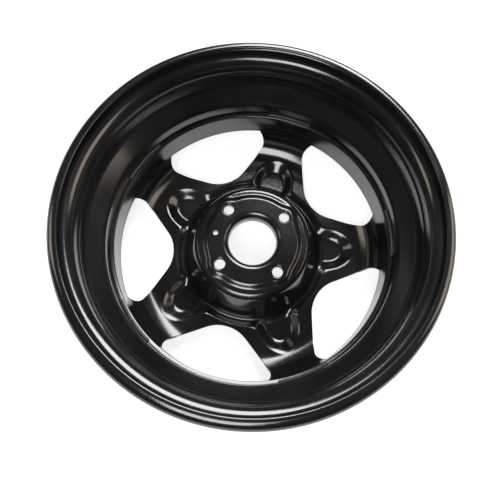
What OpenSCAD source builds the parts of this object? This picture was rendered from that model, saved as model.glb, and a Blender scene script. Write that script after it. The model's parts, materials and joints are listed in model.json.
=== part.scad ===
// Pressed steel road wheel, lying on its outboard flange with the inboard side up.
// Millimetres. The wheel axis is Z and the origin is at the middle of the rim width.

/* [Rim] */
// diameter of the seat the tyre bead sits on
bead_diameter = 380.2; // [370:0.2:392]
// width between the two flanges, on the tyre side
rim_width = 152.4; // [146:0.1:165.1]
// height of the flanges above the bead seat
flange_height = 17.3; // [16:0.1:19]
// outer radius of the turned-over flange edge
curl_radius = 8; // [7:0.1:8.4]
// how far the flange edge is turned past its widest point, in degrees
curl_turn = 108; // [80:1:120]
// thickness of the rim sheet
rim_sheet = 2.6; // [2.4:0.1:3.4]
// depth of the drop well below the bead seat
well_depth = 19.1; // [18:0.1:21]
// distance of the bead hump from the flange
hump_distance = 20; // [19:0.5:22]
// diameter of the valve hole
valve_hole = 11.5; // [11.3:0.1:12.5]

/* [Hub] */
// distance from the middle of the rim to the hub face
hub_offset = 30; // [24:0.5:31]
// diameter of the centre bore
bore_diameter = 60.1; // [54.1:0.1:63.4]
// length of the centre bore
bore_length = 17; // [12:0.5:20]
// diameter of the bolt circle
bolt_circle = 100; // [98:0.5:102]
// diameter of the bolt holes
bolt_hole = 13; // [12.5:0.1:14]
// diameter of the raised hub pad
pad_diameter = 109; // [107:0.5:112]
// thickness of the hub pad
pad_sheet = 6; // [5.6:0.1:7]
// diameter of the locating hole
locating_hole = 6.4; // [5:0.1:8]
// diameter of the shelf round the hub pad, where the flank starts
shelf_diameter = 131; // [126:0.5:134]
// depth of the shelf's edge below the hub face
shelf_drop = 3; // [2:0.1:5]

/* [Disc] */
// thickness of the pressed disc
disc_sheet = 3.8; // [3.6:0.1:4.6]
// depth of the spoke face below the hub face
spoke_depth = 46.5; // [42:0.5:48]
// inner radius of the bend from a spoke into the skirt
bend_radius = 35; // [28:0.5:38]
// depth of the pockets below the spoke face
pocket_depth = 8; // [4:0.5:9]
// radius at which the pockets end in the spokes
pocket_reach = 131; // [124:0.5:134]
// width of a pocket
pocket_width = 48; // [40:0.5:54]
// smallest radius of the windows
window_start = 102.5; // [100:0.5:106]
// angle between a window side and the tangent
window_angle = 35; // [33:0.5:38]
// corner radius of the windows
window_corner = 9; // [7:0.5:12]
// depth of the skirt edge below the middle of the rim
skirt_top = 8.6; // [6:0.2:12]

/* [Welds] */
// width of a weld leg
weld_leg = 4; // [3:0.1:4.2]
// angle covered by each weld
weld_angle = 18.6; // [12:0.2:22]

/* [Hidden] */
$fn = 180;
spokes = 5;
step = 360 / spokes;
bolts = 4;

half_sheet = rim_sheet / 2;
// the straight runs of the rim section are this much inside the bends, and reach this far into them
seam = 0.02;
lap = 0.3;

// taper of the bead seats, size of the humps, and lengths along the axis of the slopes into the well
seat_taper = 1.6;
hump_height = 1.1;
hump_half = 4;
slope_length = 6.5;
ledge_drop = 0.4;
ledge_length = 20;
ramp_length = 20;

// middle line of the rim sheet
flange_mid = rim_width / 2 + half_sheet;
seat_mid = bead_diameter / 2 - half_sheet;
toe_mid = seat_mid - seat_taper;
hump_mid = toe_mid + hump_height;
ledge_mid = toe_mid - ledge_drop;
well_mid = seat_mid - well_depth;
curl_mid = curl_radius - half_sheet;
curl_r = bead_diameter / 2 + flange_height - curl_radius;
curl_z = rim_width / 2 + curl_radius;
hump_z = rim_width / 2 - hump_distance;
slope_out = hump_z - hump_half;
well_out = slope_out - slope_length;
ramp_out = slope_out - ledge_length;
well_in = ramp_out - ramp_length;

// bend radii of that line
flange_bend = 7.5;
seat_bend = 6;
hump_bend = 5;
outboard_hump_bend = 3;
ledge_bend = 12;
ramp_bend = 10;
well_bend = 5;
toe_bend = 4;

// outboard slope of the drop well, and the middle of its straight part for the valve hole
slope_run = [toe_mid - well_mid, slope_out - well_out];
slope_tilt = atan2(slope_run[1], slope_run[0]);
hump_tilt = atan2(hump_z - slope_out, hump_mid - toe_mid);
well_cut = well_bend * tan((90 - slope_tilt) / 2);
toe_cut = toe_bend * tan((hump_tilt - slope_tilt) / 2);
valve_along = (norm(slope_run) + well_cut - toe_cut) / 2;
valve_r = well_mid + valve_along * cos(slope_tilt);
valve_z = -well_out - valve_along * sin(slope_tilt);

skirt_extra = 0.8;
skirt_sheet = disc_sheet + skirt_extra;
skirt_fit = 0.05;
skirt_edge = 0.8;
well_wall = well_mid - half_sheet;
skirt_outer = well_wall - skirt_fit;
skirt_inner = skirt_outer - skirt_sheet;
hub_z = -hub_offset;
face_z = hub_z - spoke_depth;
floor_z = face_z - pocket_depth;
// the spokes run into the skirt as a bend, which ends this far inside the skirt's faces
bend_inset = 0.4;
bend_outer = bend_radius + disc_sheet;
bend_r = skirt_inner + bend_inset - bend_radius;
bend_z = face_z + bend_radius;
bend_lap = 5;
skirt_foot = bend_z - bend_lap;
pad_r = pad_diameter / 2;
// the pressed sheet starts inside the pad's edge and a little below its face
pad_lap = 2.5;
sheet_drop = 1;
sheet_start = pad_r - pad_lap;

// flank of the hub: shelf, crest arc, straight wall and foot arc
crest_radius = 8;
foot_radius = 12;
shelf_r = shelf_diameter / 2;
shelf_z = hub_z - shelf_drop;
foot_gap = 5;
foot_r = window_start - foot_gap;
flank_run = [foot_r - shelf_r, shelf_z - floor_z - crest_radius - foot_radius];
flank_tilt = atan2(flank_run[1], flank_run[0]) + asin((crest_radius + foot_radius) / norm(flank_run));
wall_from = [shelf_r + crest_radius * sin(flank_tilt), shelf_z - crest_radius * (1 - cos(flank_tilt))];
wall_to = [foot_r - foot_radius * sin(flank_tilt), floor_z + foot_radius * (1 - cos(flank_tilt))];

// edge of the raised face round the pockets: lip at the windows, middle and softness of a pocket
lip = 8;
lip_low = 9;
lip_high = 5;
pocket_middle = 100;
pocket_ease = 0.7;
star_round = 4;
bore_r = bore_diameter / 2;
bore_foot = hub_z - bore_length;
bolt_r = bolt_circle / 2;
boss_sheet = 4.5;
boss_height = 6;
boss_lap = 1;
boss_r = bolt_hole / 2 + boss_sheet;
boss_top = hub_z - pad_sheet + boss_lap;
boss_foot = hub_z - pad_sheet - boss_height;
seat_depth = 5.2;
hole_edge = 0.8;
land_extra = 0.5;
land_bulge = 1;
land_r = boss_r + land_extra;
land_reach = pad_r + land_bulge;
locating_inset = 3;
locating_r = bolt_r - locating_inset;
locating_angle = 312;

// rounding of the bore entry and of the pad edge, and the shallow groove between the bolt lands
bore_entry = 7.7;
pad_edge = 1.2;
collar_sheet = 4.5;
groove_depth = 1.5;
groove_edge = 2;
groove_half = (pad_r - bore_r - bore_entry) / 2 - groove_edge;
groove_mid = (pad_r + bore_r + bore_entry) / 2;
groove_radius = (groove_half * groove_half + groove_depth * groove_depth) / (2 * groove_depth);

// window outline: inner arc, straight side, corner arc
vertex_radius = 45;
vertex_centre = window_start + vertex_radius;
side_dir = [cos(window_angle), sin(window_angle)];
side_from = [vertex_radius * sin(window_angle), vertex_centre - vertex_radius * cos(window_angle)];
corner_from = side_from + window_corner * [-sin(window_angle), cos(window_angle)];
corner_r = skirt_inner - window_corner;
corner_run = corner_from * side_dir;
side_length = sqrt(corner_run * corner_run - corner_from * corner_from + corner_r * corner_r) - corner_run;
corner_at = corner_from + side_length * side_dir;
side_to = side_from + side_length * side_dir;
side_height = norm(side_from - (side_from * side_dir) * side_dir);

// rows and columns of the pressed surface
inner_rows = 13;
outer_rows = 13;
bend_rows = 6;
flat_rows = inner_rows + outer_rows;
last_row = flat_rows + bend_rows + 1;
cols = 16;
// the bend is followed by its angle from here on
join_gap = 11;
join_r = pocket_reach + join_gap;
join_turn = asin((join_r - bend_r) / bend_radius);
end_rise = 8;

function clamp(x) = max(0, min(1, x));
function ramp(x) = clamp(x) * clamp(x) * (3 - 2 * clamp(x));
function opposite(r, b, c) = acos(clamp((r * r + b * b - c * c) / (2 * r * b)));

// half angle of a window at radius r
function window_half(r) =
    r <= window_start ? 0
    : r < norm(side_from) ? opposite(r, vertex_centre, vertex_radius)
    : r < norm(side_to) ? acos(side_height / r) - window_angle
    : atan2(corner_at[0], corner_at[1]) + opposite(min(r, skirt_inner), corner_r, window_corner);

function blend(low, high, s) = low + (high - low) * s;

// height of an arc at a distance x from its lowest point
function arc_rise(x, radius) = radius - sqrt(max(0, radius * radius - x * x));

// slope from the hub pad down to the floor of the pockets
function flank(r) =
    r <= shelf_r ? blend(hub_z - sheet_drop, shelf_z, (r - sheet_start) / (shelf_r - sheet_start))
    : r < wall_from[0] ? shelf_z - arc_rise(r - shelf_r, crest_radius)
    : r < wall_to[0] ? blend(wall_from[1], wall_to[1], (r - wall_from[0]) / (wall_to[0] - wall_from[0]))
    : r < foot_r ? floor_z + arc_rise(foot_r - r, foot_radius)
    : floor_z;

// distance outside the star-shaped edge of the pockets, a is the angle from the middle of a spoke
function ring_gap(r) = r - window_start + lip;
function oval(u, v) = norm([(u - pocket_middle) / (pocket_reach - pocket_middle), 2 * v / pocket_width]);
function oval_gap(u, v) = pocket_ease * (oval(u, v) - 1) * pocket_width / 2;
function star(r, a) = -star_round
    * ln(exp(-ring_gap(r) / star_round) + exp(-oval_gap(r * cos(a), r * sin(a)) / star_round));

// height of the inboard surface and the disc thickness measured along Z
function bend_rise(r) = arc_rise(max(0, r - bend_r), bend_radius);
function face_share(r, a) = ramp((star(r, a) + lip_low) / (lip_low + lip_high));
function face(r, a) = blend(flank(r), face_z, face_share(r, a)) + bend_rise(r);
function rise_out(r, a) = (face(r + 1, a) - face(r - 1, a)) / 2;
function rise_round(r, a) = (face(r, a + 0.5) - face(r, a - 0.5)) * 180 / (PI * r);
function drop(r, a) = disc_sheet * norm([1, rise_out(r, a), rise_round(r, a)]);

// radius of a row, before and after the bend into the skirt
function flat_r(i) = i <= inner_rows ? blend(sheet_start, window_start, i / inner_rows)
    : blend(window_start, join_r, pow((i - inner_rows) / outer_rows, 1.5));
function bend_turn(i) = min(90, blend(join_turn, 90, (i - flat_rows) / bend_rows));
function row_r(i, bend) = i <= flat_rows ? flat_r(i) : bend_r + bend * sin(bend_turn(i));
function row_z(i, bend) = bend_z - bend * cos(bend_turn(i)) + (i == last_row ? end_rise : 0);
function col_angle(i, j) = (2 * j / cols - 1) * (step / 2 - window_half(row_r(i, bend_radius)));
function top_z(i, a) = i <= flat_rows ? face(flat_r(i), a) : row_z(i, bend_radius);
function low_z(i, a) = i <= flat_rows ? face(flat_r(i), a) - drop(flat_r(i), a) : row_z(i, bend_outer);
function around(r, a, z) = [r * cos(a), r * sin(a), z];

module sector(r, a0, a1) {
    m = (a0 + a1) / 2;
    polygon([[0, 0], r * [cos(a0), sin(a0)], r * [cos(m), sin(m)], r * [cos(a1), sin(a1)]]);
}

module band(r) {
    difference() {
        circle(r + half_sheet);
        circle(r - half_sheet);
    }
}

// straight piece of the rim section from p to q, lapped into the bends at both ends
module run(p, q) {
    d = (q - p) / norm(q - p);
    n = (half_sheet - seam) * [-d[1], d[0]];
    a = p - lap * d;
    b = q + lap * d;
    polygon([a + n, b + n, b - n, a - n]);
}

// rim section along a path of [r, z, bend radius]
module path(nodes) {
    last = len(nodes) - 1;
    dirs = [for (i = [0:last - 1]) let (v = nodes[i + 1] - nodes[i]) [v[0], v[1]] / norm([v[0], v[1]])];
    turns = [for (i = [0:last]) i == 0 || i == last ? 0
        : let (a = dirs[i - 1], b = dirs[i]) atan2(a[0] * b[1] - a[1] * b[0], a * b)];
    cut = [for (i = [0:last]) nodes[i][2] * tan(abs(turns[i]) / 2)];
    at = [for (p = nodes) [p[0], p[1]]];
    for (i = [0:last - 1])
        rotate_extrude() run(at[i] + dirs[i] * cut[i], at[i + 1] - dirs[i] * cut[i + 1]);
    for (i = [1:last - 1]) {
        side = sign(turns[i]);
        left = side * [-dirs[i - 1][1], dirs[i - 1][0]];
        from = atan2(-left[1], -left[0]);
        rotate_extrude() translate(at[i] - dirs[i - 1] * cut[i] + left * nodes[i][2])
        intersection() {
            band(nodes[i][2]);
            sector(3 * nodes[i][2], from, from + turns[i]);
        }
    }
}

// turned-over edge of the inboard flange, with its rounded tip
module curl() {
    rotate_extrude() translate([curl_r, curl_z]) difference() {
        band(curl_mid);
        sector(4 * curl_radius, curl_turn, 270);
    }
    rotate_extrude() translate([curl_r, curl_z])
        translate(curl_mid * [cos(curl_turn), sin(curl_turn)]) circle(half_sheet - seam);
}

// rim from the inboard flange over the drop well to the outboard flange
module barrel() {
    path([
        [curl_r, flange_mid, 0],
        [seat_mid, flange_mid, flange_bend],
        [toe_mid, hump_z + hump_half, seat_bend],
        [hump_mid, hump_z, hump_bend],
        [ledge_mid, slope_out, seat_bend],
        [ledge_mid, ramp_out, ledge_bend],
        [well_mid, well_in, ramp_bend],
        [well_mid, -well_out, well_bend],
        [toe_mid, -slope_out, toe_bend],
        [hump_mid, -hump_z, outboard_hump_bend],
        [toe_mid, -hump_z - hump_half, seat_bend],
        [seat_mid, -flange_mid, flange_bend],
        [curl_r, -flange_mid, 0],
    ]);
    curl();
    mirror([0, 0, 1]) curl();
}

// valve hole, square to the outboard slope of the drop well
module valve_drill() {
    translate([-valve_r, 0, valve_z]) rotate([0, -slope_tilt, 0])
    cylinder(d = valve_hole, h = 4 * rim_sheet, center = true);
}

module rim() {
    color([0.07, 0.07, 0.08])
    difference() {
        barrel();
        valve_drill();
    }
}

// pressed sheet of the spokes as one surface with thickness
module spider() {
    size = spokes * (cols + 1);
    tops = [for (i = [0:last_row], k = [0:spokes - 1], j = [0:cols])
        let (a = col_angle(i, j)) around(row_r(i, bend_radius), step * k + a, top_z(i, a))];
    lows = [for (i = [0:last_row], k = [0:spokes - 1], j = [0:cols])
        let (a = col_angle(i, j)) around(row_r(i, bend_outer), step * k + a, low_z(i, a))];
    n = len(tops);
    function t(i, k, j) = i * size
        + (i <= inner_rows && j == cols ? ((k + 1) % spokes) * (cols + 1) : k * (cols + 1) + j);
    function b(i, k, j) = n + t(i, k, j);
    rows = [0:last_row - 1];
    turns = [0:spokes - 1];
    columns = [0:cols - 1];
    skin = [for (i = rows, k = turns, j = columns) each [
        [t(i, k, j), t(i, k, j + 1), t(i + 1, k, j + 1)],
        [t(i, k, j), t(i + 1, k, j + 1), t(i + 1, k, j)],
        [b(i, k, j), b(i + 1, k, j + 1), b(i, k, j + 1)],
        [b(i, k, j), b(i + 1, k, j), b(i + 1, k, j + 1)]]];
    ends = [for (k = turns, j = columns) each [
        [t(0, k, j + 1), t(0, k, j), b(0, k, j)],
        [t(0, k, j + 1), b(0, k, j), b(0, k, j + 1)],
        [t(last_row, k, j), t(last_row, k, j + 1), b(last_row, k, j + 1)],
        [t(last_row, k, j), b(last_row, k, j + 1), b(last_row, k, j)]]];
    sides = [for (i = [inner_rows:last_row - 1], k = turns) each [
        [t(i, k, 0), t(i + 1, k, 0), b(i + 1, k, 0)],
        [t(i, k, 0), b(i + 1, k, 0), b(i, k, 0)],
        [t(i + 1, k, cols), t(i, k, cols), b(i, k, cols)],
        [t(i + 1, k, cols), b(i, k, cols), b(i + 1, k, cols)]]];
    polyhedron(points = concat(tops, lows), faces = concat(skin, ends, sides), convexity = 8);
}

// what a rounded corner takes away, seen from the centre of the rounding
module corner(r) {
    difference() {
        square(r + 1);
        circle(r);
    }
}

// upright ring of the disc that fits in the drop well
module skirt() {
    rotate_extrude() difference() {
        translate([skirt_inner, skirt_foot]) square([skirt_sheet, -skirt_top - skirt_foot]);
        translate([skirt_inner + skirt_edge, -skirt_top - skirt_edge]) mirror([1, 0]) corner(skirt_edge);
    }
}

// hub pad and bore collar
module hub() {
    rotate_extrude() difference() {
        union() {
            translate([bore_r, hub_z - pad_sheet]) square([pad_r - bore_r, pad_sheet]);
            translate([bore_r, bore_foot]) square([collar_sheet, bore_length - 1]);
        }
        translate([bore_r + bore_entry, hub_z - bore_entry]) mirror([1, 0]) corner(bore_entry);
        translate([pad_r - pad_edge, hub_z - pad_edge]) corner(pad_edge);
        translate([groove_mid, hub_z + groove_radius - groove_depth]) circle(groove_radius);
    }
}

// raised land on the pad and boss under it, for one bolt
module bolt_land() {
    translate([bolt_r, 0, boss_foot]) cylinder(r = boss_r, h = boss_top - boss_foot);
    translate([0, 0, hub_z - pad_sheet]) intersection() {
        translate([bolt_r, 0, 0]) cylinder(r = land_r, h = pad_sheet);
        cylinder(r = land_reach, h = pad_sheet);
    }
}

// bolt hole with a tapered seat on the outboard side and a broken edge on the inboard side
module bolt_drill() {
    r = bolt_hole / 2;
    translate([bolt_r, 0, boss_foot - 1]) {
        cylinder(r = r, h = hub_z - boss_foot + 2);
        cylinder(r1 = r + (seat_depth + 1) * tan(30), r2 = r, h = seat_depth + 1);
    }
    translate([bolt_r, 0, hub_z - hole_edge]) cylinder(r1 = r, r2 = r + 2 * hole_edge, h = 2 * hole_edge);
}

module locating_drill() {
    rotate(locating_angle) translate([locating_r, 0, boss_foot])
        cylinder(d = locating_hole, h = hub_z - boss_foot + 1);
}

module disc() {
    color([0.07, 0.07, 0.08])
    difference() {
        union() {
            spider();
            skirt();
            hub();
            for (k = [0:bolts - 1]) rotate(k * 360 / bolts) bolt_land();
        }
        for (k = [0:bolts - 1]) rotate(k * 360 / bolts) bolt_drill();
        locating_drill();
    }
}

// five fillet welds on the skirt edge, one at each spoke
module disc_welds() {
    bulge = 0.4 * weld_leg;
    color([0.1, 0.1, 0.1])
    for (k = [0:spokes - 1]) rotate(k * step - weld_angle / 2)
    rotate_extrude(angle = weld_angle)
    translate([well_wall, -skirt_top]) intersection() {
        translate([-weld_leg, 0]) square(weld_leg);
        translate([bulge, -bulge]) circle(norm([weld_leg + bulge, bulge]));
    }
}

rim();
disc();
disc_welds();
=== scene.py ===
import json
import math

import bmesh
import bpy
import numpy as np
from bpy.props import FloatProperty, FloatVectorProperty, IntProperty, PointerProperty
from bpy.types import Operator, Panel, PropertyGroup
from mathutils import Matrix, Vector


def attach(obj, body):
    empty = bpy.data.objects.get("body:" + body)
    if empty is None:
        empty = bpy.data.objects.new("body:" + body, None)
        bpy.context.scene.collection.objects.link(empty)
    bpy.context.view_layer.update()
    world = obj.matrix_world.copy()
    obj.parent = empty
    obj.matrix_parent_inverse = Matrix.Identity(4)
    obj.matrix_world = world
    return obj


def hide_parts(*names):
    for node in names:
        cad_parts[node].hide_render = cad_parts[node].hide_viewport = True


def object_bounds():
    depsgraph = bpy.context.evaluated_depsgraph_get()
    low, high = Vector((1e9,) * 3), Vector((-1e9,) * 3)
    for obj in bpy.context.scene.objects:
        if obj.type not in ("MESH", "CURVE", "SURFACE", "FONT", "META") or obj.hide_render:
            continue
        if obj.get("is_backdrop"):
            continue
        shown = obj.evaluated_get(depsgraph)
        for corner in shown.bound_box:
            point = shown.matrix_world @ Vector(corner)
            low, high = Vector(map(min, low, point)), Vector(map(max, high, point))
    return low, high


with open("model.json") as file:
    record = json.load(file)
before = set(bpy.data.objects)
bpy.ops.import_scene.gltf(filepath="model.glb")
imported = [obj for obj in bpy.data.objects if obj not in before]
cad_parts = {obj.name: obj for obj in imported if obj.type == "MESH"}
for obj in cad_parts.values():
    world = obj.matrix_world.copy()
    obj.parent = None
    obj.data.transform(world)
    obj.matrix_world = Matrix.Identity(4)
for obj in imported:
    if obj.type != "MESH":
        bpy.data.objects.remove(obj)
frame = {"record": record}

bl_info = {
    "name": "Pressed steel wheel",
    "version": (1, 0, 0),
    "blender": (4, 5, 0),
    "location": "View3D > Sidebar > Wheel",
    "description": "Dresses a pressed steel road wheel: rim, spoked disc, welds and studio",
    "category": "Add Mesh",
}

CAD_LOW, CAD_HIGH = (Vector(corner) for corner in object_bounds())
MOUNTS = {mount["name"]: mount for mount in frame["record"]["mounts"]}
MM = 0.001

# The photograph's camera, in a frame with X to its right and Y away from it, turned to the wheel's frame
PHOTO_TURN = math.radians(137.9)
CAMERA_PLACE = (0.0, -0.18122, 0.56348)
CAMERA_RIGHT = (0.99569, 0.07598, 0.05325)
CAMERA_UP = (-0.09087, 0.91435, 0.39460)
CAMERA_FORWARD = (0.01871, 0.39773, -0.91731)
FOCAL_PIXELS = 498.12
PRINCIPAL_OFFSET = (17.14, -56.19)
IMAGE_WIDTH = 500
SENSOR_WIDTH = 36.0


def size(name, description, default):
    """A length that a user can set, in metres."""
    return FloatProperty(name=name, description=description, default=default, min=0.0, precision=5,
                         subtype="DISTANCE", unit="LENGTH")


def angle(name, description, degrees):
    """An angle that a user can set."""
    return FloatProperty(name=name, description=description, default=math.radians(degrees),
                         subtype="ANGLE", unit="ROTATION")


def colour(name, description, default):
    """A colour that a user can set."""
    return FloatVectorProperty(name=name, description=description, default=default, size=3,
                               min=0.0, max=1.0, subtype="COLOR")


class WheelRimSizes(PropertyGroup):
    """Sizes of the rolled rim."""
    flange_radius: size("Flange radius", "Outer radius of the flanges", CAD_HIGH.x)
    half_width: size("Half width", "Half of the overall width", CAD_HIGH.z)
    flange_height: size("Flange height", "Height of the flanges above the bead seat", 17.3 * MM)
    curl_radius: size("Curl radius", "Outer radius of the turned-over flange edge", 8.0 * MM)
    curl_turn: angle("Curl turn", "How far the flange edge turns past its widest point", 108.0)
    sheet: size("Sheet", "Thickness of the rim sheet", 2.6 * MM)
    well_depth: size("Well depth", "Depth of the drop well below the bead seat", 19.1 * MM)
    hump_distance: size("Hump distance", "Distance of the bead hump from the flange", 20.0 * MM)
    steps: IntProperty(name="Steps", description="Steps around the rim", default=240, min=48, max=360)


class WheelDiscSizes(PropertyGroup):
    """Sizes of the pressed disc."""
    hub_offset: size("Hub offset", "Depth of the hub face below the middle of the rim",
                     -MOUNTS["hub_face"]["pos_m"][2])
    bore_radius: size("Bore radius", "Radius of the centre bore", MOUNTS["centre_bore"]["dims"]["r_mm"] * MM)
    bolt_circle: size("Bolt circle", "Diameter of the bolt circle",
                      MOUNTS["bolt_holes"]["dims"]["pcd_mm"] * MM)
    bolt_radius: size("Bolt hole radius", "Radius of the bolt holes",
                      MOUNTS["bolt_holes"]["dims"]["hole_r_mm"] * MM)
    bore_length: size("Bore length", "Length of the centre bore", 17.0 * MM)
    pad_radius: size("Pad radius", "Radius of the raised hub pad", 54.5 * MM)
    pad_sheet: size("Pad sheet", "Thickness of the hub pad", 6.0 * MM)
    sheet: size("Sheet", "Thickness of the pressed disc", 3.8 * MM)
    spoke_depth: size("Spoke depth", "Depth of the spoke face below the hub face", 46.5 * MM)
    bend_radius: size("Bend radius", "Inner radius of the bend from a spoke into the skirt", 35.0 * MM)
    shelf_radius: size("Shelf radius", "Radius at which the flank of the hub starts", 65.5 * MM)
    shelf_drop: size("Shelf drop", "Depth of the shelf's edge below the hub face", 3.0 * MM)
    pocket_depth: size("Pocket depth", "Depth of the pockets below the spoke face", 8.0 * MM)
    pocket_reach: size("Pocket reach", "Radius at which the pockets end", 131.0 * MM)
    pocket_width: size("Pocket width", "Width of a pocket", 48.0 * MM)
    window_start: size("Window start", "Smallest radius of the windows", 102.5 * MM)
    window_angle: angle("Window angle", "Angle between a window side and the tangent", 35.0)
    window_corner: size("Window corner", "Corner radius of the windows", 9.0 * MM)
    skirt_top: size("Skirt top", "Depth of the skirt edge below the middle of the rim", 8.6 * MM)


class WheelWeldSizes(PropertyGroup):
    """Sizes of the weld beads."""
    leg: size("Leg", "Width of a weld leg", 4.0 * MM)
    covered: angle("Covered angle", "Angle that each weld covers", 18.6)
    ripple: size("Ripple", "Distance between the ripples of a bead", 2.2 * MM)
    seed: IntProperty(name="Seed", description="Seed of the uneven ripples", default=7, min=0)


class WheelFinish(PropertyGroup):
    """Colours of the paint."""
    paint: colour("Paint", "Colour of the black paint", (0.008, 0.008, 0.009))
    weld: colour("Weld paint", "Colour of the paint over the welds", (0.012, 0.012, 0.013))
    roughness: FloatProperty(name="Roughness", description="Roughness of the paint", default=0.15,
                             min=0.0, max=1.0, subtype="FACTOR")


class WheelStudio(PropertyGroup):
    """Colours and lamps of the studio."""
    floor: colour("Floor", "Colour of the floor", (0.5, 0.5, 0.5))
    far_lamp: FloatProperty(name="Far lamp", description="Power of the lamp beyond the wheel, in watts",
                            default=28.0, min=0.0)
    near_lamp: FloatProperty(name="Near lamp", description="Power of the lamp behind the camera, in watts",
                             default=12.0, min=0.0)
    side_lamp: FloatProperty(name="Side lamps",
                             description="Power of the left lamp, in watts; the larger right one has more",
                             default=3.0, min=0.0)
    world: FloatProperty(name="World", description="Strength of the even light", default=0.05, min=0.0)


class WheelSettings(PropertyGroup):
    """All settings of the wheel."""
    rim: PointerProperty(type=WheelRimSizes)
    disc: PointerProperty(type=WheelDiscSizes)
    weld: PointerProperty(type=WheelWeldSizes)
    finish: PointerProperty(type=WheelFinish)
    studio: PointerProperty(type=WheelStudio)


def settings():
    """The wheel's settings in this scene."""
    return bpy.context.scene.wheel_settings


def new_object(name, mesh):
    """A mesh object at the origin, in the scene."""
    made = bpy.data.objects.new(name, mesh)
    bpy.context.scene.collection.objects.link(made)
    return made


def bake_modifiers(made):
    """Turns the modified object into a plain mesh and drops its modifiers."""
    graph = bpy.context.evaluated_depsgraph_get()
    mesh = bpy.data.meshes.new_from_object(made.evaluated_get(graph))
    made.modifiers.clear()
    made.data = mesh


def outward(mesh):
    """Merges doubles and points every face outwards."""
    work = bmesh.new()
    work.from_mesh(mesh)
    bmesh.ops.remove_doubles(work, verts=work.verts, dist=1e-6)
    bmesh.ops.recalc_face_normals(work, faces=work.faces)
    work.to_mesh(mesh)
    work.free()


def shade(made, degrees):
    """Shades smooth, apart from edges sharper than the angle."""
    made.data.shade_smooth()
    made.data.set_sharp_from_angle(angle=math.radians(degrees))


def place_on_frame(made, node):
    """Lets a piece stand for its CAD node on the one rigid body."""
    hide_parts(node)
    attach(made, "root")


class Shader:
    """Short calls for building a material's nodes."""

    def __init__(self, name):
        self.material = bpy.data.materials.get(name) or bpy.data.materials.new(name)
        self.material.use_nodes = True
        self.tree = self.material.node_tree
        self.tree.nodes.clear()

    def add(self, kind, **values):
        node = self.tree.nodes.new(kind)
        for key, value in values.items():
            node.inputs[key.replace("_", " ")].default_value = value
        return node

    def link(self, out, into):
        self.tree.links.new(out, into)

    def noise(self, coordinates, scale, detail):
        node = self.add("ShaderNodeTexNoise", Scale=scale, Detail=detail)
        self.link(coordinates, node.inputs["Vector"])
        return node.outputs["Fac"]

    def spread(self, source, low, high, to_low, to_high):
        node = self.add("ShaderNodeMapRange", From_Min=low, From_Max=high, To_Min=to_low, To_Max=to_high)
        self.link(source, node.inputs["Value"])
        return node.outputs["Result"]


def paint_material(name, base, roughness, grit):
    """Semi-gloss black paint with orange peel, faint clouding and uneven gloss."""
    peel_scale, cloud_scale, grit_scale = 420.0, 14.0, 1600.0
    s = Shader(name)
    where = s.add("ShaderNodeTexCoord").outputs["Object"]
    cloud = s.noise(where, cloud_scale, 4.0)
    peel = s.noise(where, peel_scale, 2.0)
    fine = s.noise(where, grit_scale, 3.0)
    tint = s.add("ShaderNodeMix")
    tint.data_type = "RGBA"
    colour_factor, colour_a, colour_b = tint.inputs[0], tint.inputs[6], tint.inputs[7]
    colour_a.default_value = (*base, 1.0)
    colour_b.default_value = (*(1.6 * channel + 0.002 for channel in base), 1.0)
    s.link(s.spread(cloud, 0.35, 0.7, 0.0, 1.0), colour_factor)
    bump = s.add("ShaderNodeBump", Strength=0.06, Distance=0.0004)
    s.link(peel, bump.inputs["Height"])
    grain = s.add("ShaderNodeBump", Strength=grit, Distance=0.0003)
    s.link(fine, grain.inputs["Height"])
    s.link(bump.outputs["Normal"], grain.inputs["Normal"])
    surface = s.add("ShaderNodeBsdfPrincipled", IOR=1.75)
    s.link(tint.outputs[2], surface.inputs["Base Color"])
    s.link(s.spread(cloud, 0.3, 0.7, roughness * 0.8, roughness * 1.35), surface.inputs["Roughness"])
    s.link(grain.outputs["Normal"], surface.inputs["Normal"])
    out = s.add("ShaderNodeOutputMaterial")
    s.link(surface.outputs["BSDF"], out.inputs["Surface"])
    return s.material


class Tree:
    """Short calls for building a Geometry Nodes tree."""

    def __init__(self, name, inputs):
        self.tree = bpy.data.node_groups.new(name, "GeometryNodeTree")
        face = self.tree.interface
        face.new_socket("Geometry", in_out="INPUT", socket_type="NodeSocketGeometry")
        self.names = {label: face.new_socket(label, in_out="INPUT", socket_type=kind).identifier
                      for label, kind in inputs}
        face.new_socket("Geometry", in_out="OUTPUT", socket_type="NodeSocketGeometry")
        self.given = self.tree.nodes.new("NodeGroupInput").outputs
        self.result = self.tree.nodes.new("NodeGroupOutput")

    def add(self, kind, links=None, **values):
        node = self.tree.nodes.new(kind)
        for key, value in values.items():
            setattr(node, key, value)
        for socket, source in (links or {}).items():
            if isinstance(source, bpy.types.NodeSocket):
                self.tree.links.new(source, node.inputs[socket])
            else:
                node.inputs[socket].default_value = source
        return node

    def math(self, operation, a, b):
        return self.add("ShaderNodeMath", {0: a, 1: b}, operation=operation).outputs[0]

    def end(self, geometry):
        """Realizes what is left of instances, sets the material and ends the tree."""
        real = self.add("GeometryNodeRealizeInstances", {"Geometry": geometry})
        finish = self.add("GeometryNodeSetMaterial",
                          {"Geometry": real.outputs[0], "Material": self.given["Material"]})
        self.tree.links.new(finish.outputs[0], self.result.inputs[0])

    def use(self, made, values):
        modifier = made.modifiers.new(self.tree.name, "NODES")
        modifier.node_group = self.tree
        for label, value in values.items():
            modifier[self.names[label]] = value
        bake_modifiers(made)


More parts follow.
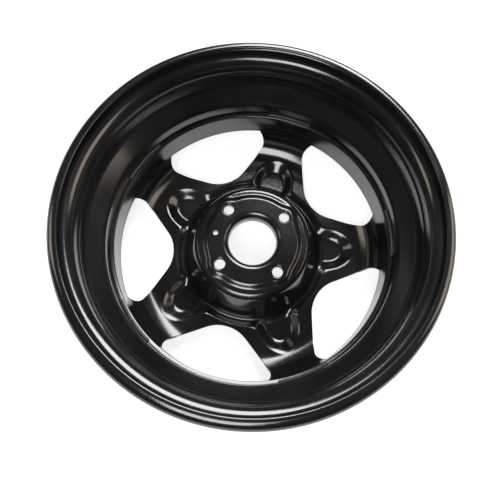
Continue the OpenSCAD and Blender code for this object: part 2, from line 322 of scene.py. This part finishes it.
def sweep_tree():
    """Sweeps a closed section round the wheel axis."""
    t = Tree("swept_section", [("Radius", "NodeSocketFloat"), ("Steps", "NodeSocketInt"),
                               ("Material", "NodeSocketMaterial")])
    ring = t.add("GeometryNodeCurvePrimitiveCircle", {"Resolution": t.given["Steps"],
                                                      "Radius": t.given["Radius"]})
    section = t.add("GeometryNodeMeshToCurve", {"Mesh": t.given["Geometry"]})
    swept = t.add("GeometryNodeCurveToMesh", {"Curve": ring.outputs["Curve"],
                                              "Profile Curve": section.outputs["Curve"]})
    t.end(swept.outputs["Mesh"])
    return t


def bead_tree():
    """Lays a rippled weld bead along an arc at each spoke."""
    t = Tree("weld_beads", [("Radius", "NodeSocketFloat"), ("Height", "NodeSocketFloat"),
                            ("Covered", "NodeSocketFloat"), ("Leg", "NodeSocketFloat"),
                            ("Ripple", "NodeSocketFloat"), ("Spokes", "NodeSocketInt"),
                            ("Seed", "NodeSocketInt"), ("Material", "NodeSocketMaterial")])
    start = t.math("MULTIPLY", t.given["Covered"], -0.5)
    arc = t.add("GeometryNodeCurveArc", {"Resolution": 48, "Radius": t.given["Radius"],
                                         "Start Angle": start,
                                         "Sweep Angle": t.given["Covered"]}, mode="RADIUS")
    core_size = t.math("MULTIPLY", t.given["Leg"], 0.5)
    core = t.add("GeometryNodeCurvePrimitiveCircle", {"Resolution": 14, "Radius": core_size})
    bead = t.add("GeometryNodeCurveToMesh", {"Curve": arc.outputs["Curve"],
                                             "Profile Curve": core.outputs["Curve"], "Fill Caps": True})
    points = t.add("GeometryNodeCurveToPoints", {"Curve": arc.outputs["Curve"],
                                                 "Length": t.given["Ripple"]}, mode="LENGTH")
    ball_size = t.math("MULTIPLY", t.given["Leg"], 0.58)
    ball = t.add("GeometryNodeMeshUVSphere", {"Segments": 16, "Rings": 9, "Radius": ball_size})
    uneven = t.add("FunctionNodeRandomValue", {"Min": (0.86, 0.86, 0.7), "Max": (1.06, 1.06, 0.95),
                                               "Seed": t.given["Seed"]}, data_type="FLOAT_VECTOR")
    ripples = t.add("GeometryNodeInstanceOnPoints", {"Points": points.outputs["Points"],
                                                     "Instance": ball.outputs["Mesh"],
                                                     "Rotation": points.outputs["Rotation"],
                                                     "Scale": uneven.outputs["Value"]})
    one = t.add("GeometryNodeJoinGeometry")
    for piece in (bead.outputs["Mesh"], ripples.outputs["Instances"]):
        t.tree.links.new(piece, one.inputs[0])
    lift = t.add("ShaderNodeCombineXYZ", {"Z": t.given["Height"]})
    lifted = t.add("GeometryNodeTransform", {"Geometry": one.outputs[0], "Translation": lift.outputs[0]})
    spots = t.add("GeometryNodePoints", {"Count": t.given["Spokes"]})
    index = t.add("GeometryNodeInputIndex").outputs[0]
    step = t.math("DIVIDE", 2 * math.pi, t.given["Spokes"])
    turn = t.add("ShaderNodeCombineXYZ", {"Z": t.math("MULTIPLY", index, step)})
    all_welds = t.add("GeometryNodeInstanceOnPoints", {"Points": spots.outputs[0],
                                                       "Instance": lifted.outputs[0],
                                                       "Rotation": turn.outputs[0]})
    t.end(all_welds.outputs[0])
    return t


def bend_points(corner, before, after, radius, step):
    """Points and left normals of the arc that rounds a corner of the rim's middle line."""
    come = (corner - before) / np.linalg.norm(corner - before)
    leave = (after - corner) / np.linalg.norm(after - corner)
    turn = math.atan2(come[0] * leave[1] - come[1] * leave[0], come @ leave)
    left = math.copysign(1.0, turn) * np.array([-come[1], come[0]])
    centre = corner - come * radius * math.tan(abs(turn) / 2) + left * radius
    first = math.atan2(-left[1], -left[0])
    return arc_points(centre, radius, first, first + turn, step)


def arc_points(centre, radius, first, last, step):
    """Points and left normals along an arc."""
    count = max(3, int(abs(last - first) / step) + 1)
    angles = np.linspace(first, last, count)
    out = np.stack([np.cos(angles), np.sin(angles)], 1)
    return centre + radius * out, -math.copysign(1.0, last - first) * out


def rim_outline(rim):
    """Closed outline of the rim's section, as radius and height."""
    half = rim.sheet / 2
    seat = rim.flange_radius - rim.flange_height
    inner_width = rim.half_width - 2 * rim.curl_radius
    flange_mid = inner_width + half
    seat_mid = seat - half
    seat_fall, hump_rise, ledge_fall = 1.6 * MM, 1.1 * MM, 0.4 * MM
    hump_run, ledge_run, slope_run, foot_run = 4 * MM, 24 * MM, 20 * MM, 6.5 * MM
    toe = seat_mid - seat_fall
    hump = toe + hump_rise
    well = seat_mid - rim.well_depth
    hump_z = inner_width - rim.hump_distance
    slope_out = hump_z - hump_run
    slope_in = hump_z - ledge_run
    curl_mid = rim.curl_radius - half
    curl_r = rim.flange_radius - rim.curl_radius
    curl_z = inner_width + rim.curl_radius
    ledge = toe - ledge_fall
    # Radius, height and bend radius at each corner of the middle line
    nodes = np.array([
        (curl_r, flange_mid, 0.0),
        (seat_mid, flange_mid, 10 * MM),
        (toe, hump_z + hump_run, 6 * MM),
        (hump, hump_z, 5 * MM),
        (ledge, hump_z - hump_run, 6 * MM),
        (ledge, slope_in, 12 * MM),
        (well, slope_in - slope_run, 10 * MM),
        (well, foot_run - slope_out, 5 * MM),
        (toe, -slope_out, 4 * MM),
        (hump, -hump_z, 3 * MM),
        (toe, -hump_z - hump_run, 6 * MM),
        (seat_mid, -flange_mid, 7.5 * MM),
        (curl_r, -flange_mid, 0.0),
    ])
    step = math.radians(7.5)
    quarter = math.pi / 2
    pieces = [arc_points(np.array([curl_r, curl_z]), curl_mid, rim.curl_turn, -quarter, step)]
    for before, corner, after in zip(nodes, nodes[1:], nodes[2:]):
        pieces.append(bend_points(corner[:2], before[:2], after[:2], corner[2], step))
    pieces.append(arc_points(np.array([curl_r, -curl_z]), curl_mid, quarter, -rim.curl_turn, step))
    points = np.concatenate([piece[0] for piece in pieces])
    normals = np.concatenate([piece[1] for piece in pieces])
    tips = [tip_points(points[i], normals[i], half, way) for i, way in ((-1, 1.0), (0, -1.0))]
    return np.concatenate([points + half * normals, tips[0], (points - half * normals)[::-1], tips[1]])


def tip_points(point, normal, half, way):
    """Rounded end of the sheet, from one side round to the other."""
    along = way * np.array([normal[1], -normal[0]])
    turns = np.linspace(0, math.pi, 9)[1:-1]
    side = way * normal
    return np.array([point + half * (math.cos(a) * side + math.sin(a) * along) for a in turns])


def ramp(x):
    """Smooth step from 0 to 1."""
    x = np.clip(x, 0, 1)
    return x * x * (3 - 2 * x)


class DiscShape:
    """The pressed disc's surfaces in millimetres, close to the solid's and softened after the photograph."""

    spokes, bolts = 5, 4

    def __init__(self, disc, well_wall):
        for name in ("bore_radius", "bolt_circle", "bolt_radius", "bore_length", "pad_radius", "pad_sheet",
                     "sheet", "pocket_reach", "pocket_width", "window_start", "window_corner",
                     "bend_radius"):
            setattr(self, name, getattr(disc, name) / MM)
        self.side_angle = disc.window_angle
        self.hub_z = -disc.hub_offset / MM
        self.face_z = self.hub_z - disc.spoke_depth / MM
        self.floor_z = self.face_z - disc.pocket_depth / MM
        self.skirt_top = -disc.skirt_top / MM
        skirt_gap, skirt_extra, foot_gap, join_gap, pad_lap = 0.05, 0.8, 5.0, 11.0, 2.5
        boss_wall, boss_height, collar_wall = 4.5, 6.0, 4.5
        self.skirt_outer = well_wall / MM - skirt_gap
        self.skirt_inner = self.skirt_outer - self.sheet - skirt_extra
        self.bend_r = self.skirt_inner - self.bend_radius
        self.bend_z = self.face_z + self.bend_radius
        self.skirt_foot = self.bend_z - foot_gap
        self.foot_turn = math.acos((self.bend_z - self.skirt_foot) / self.bend_radius)
        self.join_r = self.pocket_reach + join_gap
        self.join_turn = math.asin((self.join_r - self.bend_r) / self.bend_radius)
        self.sheet_start = self.pad_radius - pad_lap
        self.flank_outline(disc.shelf_radius / MM, self.hub_z - disc.shelf_drop / MM)
        self.bore_entry = 7.7
        self.boss_radius = self.bolt_radius + boss_wall
        self.boss_foot = self.hub_z - self.pad_sheet - boss_height
        self.collar = self.bore_radius + collar_wall
        self.bore_foot = self.hub_z - self.bore_length
        self.window_outline()

    def flank_outline(self, shelf_r, shelf_z):
        """Shelf, crest arc, straight wall and foot arc of the hub's flank."""
        crest, foot = 8.0, 12.0
        foot_r = self.window_start - 5
        run, fall = foot_r - shelf_r, shelf_z - self.floor_z - crest - foot
        tilt = math.atan2(fall, run) + math.asin((crest + foot) / math.hypot(run, fall))
        turns = np.linspace(0, tilt, 40)
        self.flank_r = np.concatenate([[self.sheet_start], shelf_r + crest * np.sin(turns),
                                       (foot_r - foot * np.sin(turns))[::-1], [self.skirt_outer]])
        self.flank_z = np.concatenate([[shelf_z], shelf_z - crest * (1 - np.cos(turns)),
                                       (self.floor_z + foot * (1 - np.cos(turns)))[::-1], [self.floor_z]])

    def window_outline(self):
        """Inner arc, straight side and corner arc of a window."""
        a, round_r = self.side_angle, 45.0
        self.vertex_r = round_r
        self.vertex_centre = self.window_start + round_r
        way = np.array([math.cos(a), math.sin(a)])
        side_from = np.array([round_r * math.sin(a), self.vertex_centre - round_r * math.cos(a)])
        corner_from = side_from + self.window_corner * np.array([-math.sin(a), math.cos(a)])
        self.corner_r = self.skirt_inner - self.window_corner
        run = corner_from @ way
        length = math.sqrt(run * run - corner_from @ corner_from + self.corner_r ** 2) - run
        corner_at = corner_from + length * way
        self.corner_angle = math.atan2(corner_at[0], corner_at[1])
        self.side_begin = np.linalg.norm(side_from)
        self.side_end = np.linalg.norm(side_from + length * way)
        self.side_height = np.linalg.norm(side_from - (side_from @ way) * way)

    def window_half(self, r):
        """Half angle of a window at radius r, in radians."""
        if r <= self.window_start:
            return 0.0
        if r < self.side_begin:
            return self.opposite(r, self.vertex_centre, self.vertex_r)
        if r < self.side_end:
            return math.acos(self.side_height / r) - self.side_angle
        r = min(r, self.skirt_inner)
        return self.corner_angle + self.opposite(r, self.corner_r, self.window_corner)

    @staticmethod
    def opposite(r, b, c):
        return math.acos(min(1.0, max(0.0, (r * r + b * b - c * c) / (2 * r * b))))

    def pressed(self, r, a):
        """Height of the pressed sheet, a is the angle from the middle of a spoke."""
        lip, lip_low, lip_high, middle, ease, soft = 8.0, 10.0, 5.0, 100.0, 1.0, 4.0
        flank = np.interp(r, self.flank_r, self.flank_z)
        ring = r - self.window_start + lip
        reach = (r * np.cos(a) - middle) / (self.pocket_reach - middle)
        across = 2 * r * np.sin(a) / self.pocket_width
        oval = ease * (np.hypot(reach, across) - 1) * self.pocket_width / 2
        star = -soft * np.log(np.exp(-ring / soft) + np.exp(-oval / soft))
        share = ramp((star + lip_low) / (lip_low + lip_high))
        past = np.clip(r - self.bend_r, 0, self.bend_radius)
        rise = self.bend_radius - np.sqrt(self.bend_radius ** 2 - past ** 2)
        return flank + (self.face_z - flank) * share + rise

    def bolt_distance(self, r, turn):
        """Distance from the nearest bolt hole's middle."""
        step = 2 * math.pi / self.bolts
        a = (turn + step / 2) % step - step / 2
        return np.hypot(r * np.cos(a) - self.bolt_circle / 2, r * np.sin(a))

    def top(self, r, a, turn):
        """Height of the inboard surface, with the hub pad and its bolt lands."""
        away = self.bolt_distance(r, turn)
        soft, ring_reach, land_reach, round_off = 2.0, 3.8, 13.5, 4.0
        ring = r - self.pad_radius - ring_reach
        past = -soft * np.log(np.exp(-ring / soft) + np.exp((land_reach - away) / soft))
        sheet = self.pressed(r, a)
        return self.hub_z + (sheet - self.hub_z) * ramp((past + round_off) / (2 * round_off))

    def low(self, r, a, turn):
        """Height of the outboard surface, with the bosses under the bolt holes."""
        out = (self.pressed(r + 1, a) - self.pressed(r - 1, a)) / 2
        round_ = (self.pressed(r, a + 0.01) - self.pressed(r, a - 0.01)) / (0.02 * r)
        sheet = self.pressed(r, a) - self.sheet * np.sqrt(1 + out ** 2 + round_ ** 2)
        pad = self.hub_z - self.pad_sheet
        z = sheet + (pad - sheet) * ramp((self.pad_radius + 1 - r) / 3)
        boss = ramp((self.boss_radius + 0.5 - self.bolt_distance(r, turn)) / 1.2)
        return z + (np.minimum(self.boss_foot, z) - z) * boss


def disc_mesh(shape):
    """Closed mesh of the disc: hub rings, spoke strips between the windows, and the skirt."""
    cols, gap_cols, spokes = 56, 32, shape.spokes
    pad_count, flank_count, strip_count, bend_count, pad_margin, crowd = 34, 26, 40, 17, 10, 1.4
    step = 2 * math.pi / spokes
    across = np.linspace(-1, 1, cols + 1)
    verts, faces = [], []

    def add(r, turn, z):
        first = sum(len(v) for v in verts)
        r, z = np.broadcast_to(r, turn.shape), np.broadcast_to(z, turn.shape)
        verts.append(np.stack([r * np.cos(turn), r * np.sin(turn), z], 1))
        return np.arange(first, first + len(turn))

    def loop_faces(one, two):
        for i in range(len(one)):
            j = (i + 1) % len(one)
            faces.append((one[i], one[j], two[j], two[i]))

    def strip_faces(one, two):
        for i in range(len(one) - 1):
            faces.append((one[i], one[i + 1], two[i + 1], two[i]))

    ring_a = np.concatenate([across[:-1] * step / 2 for _ in range(spokes)])
    ring_turn = ring_a + np.repeat(np.arange(spokes) * step, cols)
    entry_r = shape.bore_radius + shape.bore_entry
    pad_rows = np.linspace(entry_r, shape.pad_radius + pad_margin, pad_count)
    flank_rows = np.linspace(shape.pad_radius + pad_margin, shape.window_start, flank_count)[1:]
    hub_rows = np.concatenate([pad_rows, flank_rows])

    bore = []
    for r, z in ((shape.collar, shape.bore_foot), (shape.collar - 1.0, shape.bore_foot),
                 (shape.bore_radius + 0.6, shape.bore_foot), (shape.bore_radius, shape.bore_foot + 0.6)):
        bore.append(add(r, ring_turn, z))
    for turn in np.linspace(math.pi, math.pi / 2, 12)[:-1]:
        bore.append(add(entry_r + shape.bore_entry * math.cos(turn), ring_turn,
                        shape.hub_z - shape.bore_entry + shape.bore_entry * math.sin(turn)))
    tops = bore + [add(r, ring_turn, shape.top(r, ring_a, ring_turn)) for r in hub_rows]
    low_rows = np.concatenate([[shape.collar, shape.collar + 1.0], pad_rows[3:], flank_rows])
    lows = [add(r, ring_turn, shape.low(r, ring_a, ring_turn)) for r in low_rows]
    for rings in (tops, lows):
        for one, two in zip(rings, rings[1:]):
            loop_faces(one, two)
    loop_faces(tops[0], lows[0])

    grow = (np.arange(1, strip_count + 1) / strip_count) ** crowd
    strip_rows = shape.window_start + (shape.join_r - shape.window_start) * grow
    bends = np.linspace(shape.join_turn, shape.foot_turn, bend_count)[1:-1]
    foot_r = shape.bend_r + shape.bend_radius * math.sin(shape.foot_turn)
    foot_half = step / 2 - shape.window_half(foot_r)
    feet = {"top": [], "low": []}
    for k in range(spokes):
        pick = (np.arange(cols + 1) + k * cols) % (cols * spokes)
        sides = {}
        for side, rings, outer in (("top", tops, 0.0), ("low", lows, shape.sheet)):
            strips = [rings[-1][pick]]
            for r in strip_rows:
                a = across * (step / 2 - shape.window_half(r))
                height = (shape.top if side == "top" else shape.low)(r, a, a + k * step)
                strips.append(add(r, a + k * step, height))
            for turn in bends:
                reach = shape.bend_radius + outer
                wide = shape.bend_r + shape.bend_radius * math.sin(turn)
                a = across * (step / 2 - shape.window_half(wide))
                strips.append(add(shape.bend_r + reach * math.sin(turn), a + k * step,
                                  shape.bend_z - reach * math.cos(turn)))
            end_r = foot_r if side == "top" else shape.skirt_outer
            strips.append(add(end_r, across * foot_half + k * step, shape.skirt_foot))
            for one, two in zip(strips, strips[1:]):
                strip_faces(one, two)
            sides[side] = strips
            feet[side].append(strips[-1])
        for edge in (0, -1):
            strip_faces([row[edge] for row in sides["top"]], [row[edge] for row in sides["low"]])

    gap = np.linspace(foot_half, step - foot_half, gap_cols + 1)[1:-1]
    skirt_turn = np.concatenate([np.concatenate([across * foot_half, gap]) + k * step for k in range(spokes)])
    ring_feet = {}
    for side, r in (("top", foot_r), ("low", shape.skirt_outer)):
        parts = []
        for k in range(spokes):
            parts += [feet[side][k], add(r, gap + k * step, shape.skirt_foot)]
        ring_feet[side] = np.concatenate(parts)
    per = cols + gap_cols
    for k in range(spokes):
        pick = (np.arange(cols, per + 1) + k * per) % (per * spokes)
        strip_faces(ring_feet["top"][pick], ring_feet["low"][pick])
    slant, edge, outer_edge = 1.4, 0.8, 0.3
    rise = np.linspace(shape.bend_z, shape.skirt_top - slant - edge, 9)[1:]
    walls = [ring_feet["top"]]
    for turn in np.linspace(shape.foot_turn, math.pi / 2, 4)[1:]:
        walls.append(add(shape.bend_r + shape.bend_radius * math.sin(turn), skirt_turn,
                         shape.bend_z - shape.bend_radius * math.cos(turn)))
    walls += [add(shape.skirt_inner, skirt_turn, z) for z in rise]
    for turn in np.linspace(math.pi, 0.6 * math.pi, 5)[1:]:
        walls.append(add(shape.skirt_inner + edge + edge * math.cos(turn), skirt_turn,
                         shape.skirt_top - slant - edge + edge * math.sin(turn)))
    walls.append(add(shape.skirt_outer - outer_edge, skirt_turn, shape.skirt_top))
    walls.append(add(shape.skirt_outer, skirt_turn, shape.skirt_top - outer_edge))
    walls += [add(shape.skirt_outer, skirt_turn, z) for z in rise[::-1][1:]] + [ring_feet["low"]]
    for one, two in zip(walls, walls[1:]):
        loop_faces(one, two)

    mesh = bpy.data.meshes.new("wheel_disc")
    mesh.from_pydata((np.concatenate(verts) * MM).tolist(), [], [tuple(map(int, f)) for f in faces])
    outward(mesh)
    return mesh


def lathe_mesh(name, section, steps):
    """Closed solid turned round Z from an open section whose ends lie on the axis."""
    work = bmesh.new()
    points = [work.verts.new((r * MM, 0.0, z * MM)) for r, z in section]
    edges = [work.edges.new(pair) for pair in zip(points, points[1:])]
    bmesh.ops.spin(work, geom=points + edges, cent=(0, 0, 0), axis=(0, 0, 1), angle=2 * math.pi,
                   steps=steps, use_merge=True)
    bmesh.ops.remove_doubles(work, verts=work.verts, dist=1e-7)
    bmesh.ops.recalc_face_normals(work, faces=work.faces)
    mesh = bpy.data.meshes.new(name)
    work.to_mesh(mesh)
    work.free()
    return mesh


def cut_with(made, cutters):
    """Cuts each cutter from the piece and removes the cutters."""
    for cutter in cutters:
        modifier = made.modifiers.new(cutter.name, "BOOLEAN")
        modifier.operation, modifier.solver, modifier.object = "DIFFERENCE", "EXACT", cutter
    bake_modifiers(made)
    for cutter in cutters:
        mesh = cutter.data
        bpy.data.objects.remove(cutter)
        bpy.data.meshes.remove(mesh)


def hole_cutters(shape):
    """Cutters for the bolt holes, with tapered seats and rounded edges, and the locating hole."""
    r, z, edge = shape.bolt_radius, shape.hub_z, 2.0
    lead, seat_rise, seat_depth, pin_depth = 3.0, 5.2, 8.2, 12.0
    seat_top, seat_tilt = shape.boss_foot + seat_rise, math.pi / 6
    off_seam = math.radians(2.3)  # keeps the cutters' corners off the columns of the disc's mesh
    section = [(0, z + lead), (r + edge + lead, z + lead), (r + edge, z)]
    section += [(r + edge - edge * math.sin(a), z - edge + edge * math.cos(a))
                for a in np.linspace(0, math.pi / 2, 6)[1:]]
    section += [(r, seat_top), (r + seat_depth * math.tan(seat_tilt), seat_top - seat_depth),
                (0, seat_top - seat_depth)]
    cutters = []
    for k in range(shape.bolts):
        mesh = lathe_mesh("bolt_cut", section, 48)
        mesh.transform(Matrix.Rotation(k * 2 * math.pi / shape.bolts, 4, "Z")
                       @ Matrix.Translation((shape.bolt_circle / 2 * MM, 0, 0))
                       @ Matrix.Rotation(off_seam, 4, "Z"))
        cutters.append(new_object(f"bolt_cut_{k}", mesh))
    locating = MOUNTS["locating_hole"]
    pin = locating["dims"]["r_mm"]
    section = [(0, z + 1), (pin, z + 1), (pin, z - pin_depth), (0, z - pin_depth)]
    mesh = lathe_mesh("locating_cut", section, 32)
    mesh.transform(Matrix.Translation((locating["pos_m"][0], locating["pos_m"][1], 0)))
    cutters.append(new_object("locating_cut", mesh))
    return cutters


def well_wall_radius(rim):
    """Inner radius of the drop well, where the skirt is welded."""
    return rim.flange_radius - rim.flange_height - rim.sheet - rim.well_depth


class WHEEL_OT_rim(Operator):
    """Make the rolled rim with its turned-over flanges and valve hole"""
    bl_idname = "wheel.rim"
    bl_label = "Rim"

    def execute(self, context):
        rim, finish = settings().rim, settings().finish
        outline = rim_outline(rim)
        seat = rim.flange_radius - rim.flange_height
        count = len(outline)
        mesh = bpy.data.meshes.new("wheel_rim")
        mesh.from_pydata([(r - seat, -z, 0.0) for r, z in outline],
                         [(i, (i + 1) % count) for i in range(count)], [])
        made = new_object("wheel_rim", mesh)
        paint = paint_material("black_paint", finish.paint, finish.roughness, 0.03)
        sweep_tree().use(made, {"Radius": seat, "Steps": rim.steps, "Material": paint})
        outward(made.data)
        valve = MOUNTS["valve_hole"]
        r, reach = valve["dims"]["r_mm"], 6.0
        drill = lathe_mesh("valve_cut", [(0, -reach), (r, -reach), (r, reach), (0, reach)], 40)
        lean = Vector((0, 0, 1)).rotation_difference(Vector(valve["axis"])).to_matrix().to_4x4()
        drill.transform(Matrix.Translation(valve["pos_m"]) @ lean)
        cut_with(made, [new_object("valve_cut", drill)])
        shade(made, 40)
        place_on_frame(made, "rim")
        return {"FINISHED"}


class WHEEL_OT_disc(Operator):
    """Make the pressed disc with its hub, spokes, windows and skirt"""
    bl_idname = "wheel.disc"
    bl_label = "Disc"

    def execute(self, context):
        values = settings()
        shape = DiscShape(values.disc, well_wall_radius(values.rim))
        made = new_object("wheel_disc", disc_mesh(shape))
        made.data.materials.append(
            paint_material("black_paint", values.finish.paint, values.finish.roughness, 0.03))
        bevel = made.modifiers.new("edges", "BEVEL")
        bevel.width, bevel.segments = 0.7 * MM, 3
        bevel.limit_method, bevel.angle_limit = "ANGLE", math.radians(50)
        bake_modifiers(made)
        cut_with(made, hole_cutters(shape))
        shade(made, 50)
        place_on_frame(made, "disc")
        return {"FINISHED"}


class WHEEL_OT_welds(Operator):
    """Lay the rippled weld beads that join the disc to the rim"""
    bl_idname = "wheel.welds"
    bl_label = "Welds"

    def execute(self, context):
        values = settings()
        weld = values.weld
        made = new_object("weld_beads", bpy.data.meshes.new("weld_beads"))
        inset = 0.3 * weld.leg
        bead_tree().use(made, {
            "Radius": well_wall_radius(values.rim) - inset,
            "Height": inset - values.disc.skirt_top,
            "Covered": weld.covered,
            "Leg": weld.leg,
            "Ripple": weld.ripple,
            "Spokes": DiscShape.spokes,
            "Seed": weld.seed,
            "Material": paint_material("painted_weld", values.finish.weld, 0.3, 0.25),
        })
        shade(made, 60)
        place_on_frame(made, "disc_welds")
        return {"FINISHED"}


def photo_to_wheel(vector):
    """Turns a vector from the photograph's frame to the wheel's."""
    return Matrix.Rotation(PHOTO_TURN, 3, "Z") @ Vector(vector)


def add_camera():
    """The camera at the photograph's viewing angle."""
    data = bpy.data.cameras.new("camera")
    data.sensor_width = SENSOR_WIDTH
    data.lens = SENSOR_WIDTH * FOCAL_PIXELS / IMAGE_WIDTH
    data.shift_x = -PRINCIPAL_OFFSET[0] / IMAGE_WIDTH
    data.shift_y = PRINCIPAL_OFFSET[1] / IMAGE_WIDTH
    data.clip_start = 0.01
    made = bpy.data.objects.new("camera", data)
    bpy.context.scene.collection.objects.link(made)
    columns = [photo_to_wheel(v) for v in (CAMERA_RIGHT, CAMERA_UP, CAMERA_FORWARD)]
    turn = Matrix((columns[0], columns[1], -columns[2])).transposed().to_4x4()
    made.matrix_world = Matrix.Translation(photo_to_wheel(CAMERA_PLACE)) @ turn
    bpy.context.scene.camera = made


def add_lamp(name, place, wide, tall, power, tint):
    """A soft lamp aimed at the middle of the wheel, placed in the photograph's frame."""
    data = bpy.data.lights.new(name, "AREA")
    data.shape, data.size, data.size_y = "RECTANGLE", wide, tall
    data.energy, data.color = power, tint
    made = bpy.data.objects.new(name, data)
    bpy.context.scene.collection.objects.link(made)
    made.location = photo_to_wheel(place)
    made.rotation_euler = (-made.location).to_track_quat("-Z", "Y").to_euler()


def floor_material(base):
    """Pale matt floor that reads white to the camera and keeps the shadow."""
    glow = 0.82
    s = Shader("pale_floor")
    path = s.add("ShaderNodeLightPath")
    seen = path.outputs["Is Camera Ray"]
    for label in ("Is Glossy Ray", "Is Transmission Ray"):
        either = s.add("ShaderNodeMath")
        either.operation = "MAXIMUM"
        s.link(seen, either.inputs[0])
        s.link(path.outputs[label], either.inputs[1])
        seen = either.outputs[0]
    matt = s.add("ShaderNodeBsdfDiffuse", Color=(*base, 1.0))
    light = s.add("ShaderNodeEmission", Color=(1.0, 1.0, 1.0, 1.0))
    s.link(s.spread(seen, 0.0, 1.0, 0.0, glow), light.inputs["Strength"])
    both = s.add("ShaderNodeAddShader")
    s.link(matt.outputs[0], both.inputs[0])
    s.link(light.outputs[0], both.inputs[1])
    out = s.add("ShaderNodeOutputMaterial")
    s.link(both.outputs[0], out.inputs["Surface"])
    return s.material


class WHEEL_OT_stage(Operator):
    """Set up the floor, the soft studio lamps and the photograph's camera"""
    bl_idname = "wheel.stage"
    bl_label = "Stage"

    def execute(self, context):
        studio = settings().studio
        reach, z = 8.0, CAD_LOW.z
        mesh = bpy.data.meshes.new("floor")
        mesh.from_pydata([(-reach, -reach, z), (reach, -reach, z), (reach, reach, z), (-reach, reach, z)],
                         [], [(0, 1, 2, 3)])
        mesh.materials.append(floor_material(studio.floor))
        new_object("floor", mesh)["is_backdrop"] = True
        add_camera()
        white, warm, right_share = (1.0, 1.0, 1.0), (1.0, 0.85, 0.68), 2.5
        add_lamp("far_lamp", (0.2, 1.17, 1.09), 0.8, 1.0, studio.far_lamp, white)
        add_lamp("near_lamp", (-0.15, -0.78, 1.40), 0.6, 0.8, studio.near_lamp, white)
        add_lamp("left_lamp", (-1.3, 0.1, 0.9), 0.4, 0.9, studio.side_lamp, warm)
        add_lamp("right_lamp", (1.3, 0.2, 0.8), 0.9, 1.0, right_share * studio.side_lamp, warm)
        world = bpy.data.worlds.new("studio")
        world.use_nodes = True
        back = world.node_tree.nodes["Background"]
        back.inputs["Color"].default_value = (0.9, 0.95, 1.0, 1.0)
        back.inputs["Strength"].default_value = studio.world
        context.scene.world = world
        context.scene.view_settings.view_transform = "Standard"
        return {"FINISHED"}


class WHEEL_PT_panel(Panel):
    """Lists the wheel's settings and pieces"""
    bl_idname = "WHEEL_PT_panel"
    bl_label = "Pressed steel wheel"
    bl_space_type = "VIEW_3D"
    bl_region_type = "UI"
    bl_category = "Wheel"

    def draw(self, context):
        values = context.scene.wheel_settings
        for group in (values.rim, values.disc, values.weld, values.finish, values.studio):
            column = self.layout.column(align=True)
            for name in group.__annotations__:
                column.prop(group, name)
        for operator in OPERATORS:
            self.layout.operator(operator.bl_idname)


GROUPS = (WheelRimSizes, WheelDiscSizes, WheelWeldSizes, WheelFinish, WheelStudio, WheelSettings)
OPERATORS = (WHEEL_OT_rim, WHEEL_OT_disc, WHEEL_OT_welds, WHEEL_OT_stage)
CLASSES = (*GROUPS, *OPERATORS, WHEEL_PT_panel)


def register():
    for cls in CLASSES:
        bpy.utils.register_class(cls)
    bpy.types.Scene.wheel_settings = PointerProperty(type=WheelSettings)


def unregister():
    del bpy.types.Scene.wheel_settings
    for cls in reversed(CLASSES):
        bpy.utils.unregister_class(cls)


def main():
    """Makes every piece in order."""
    register()
    bpy.ops.wheel.rim()
    bpy.ops.wheel.disc()
    bpy.ops.wheel.welds()
    bpy.ops.wheel.stage()


if __name__ == "__main__":
    main()
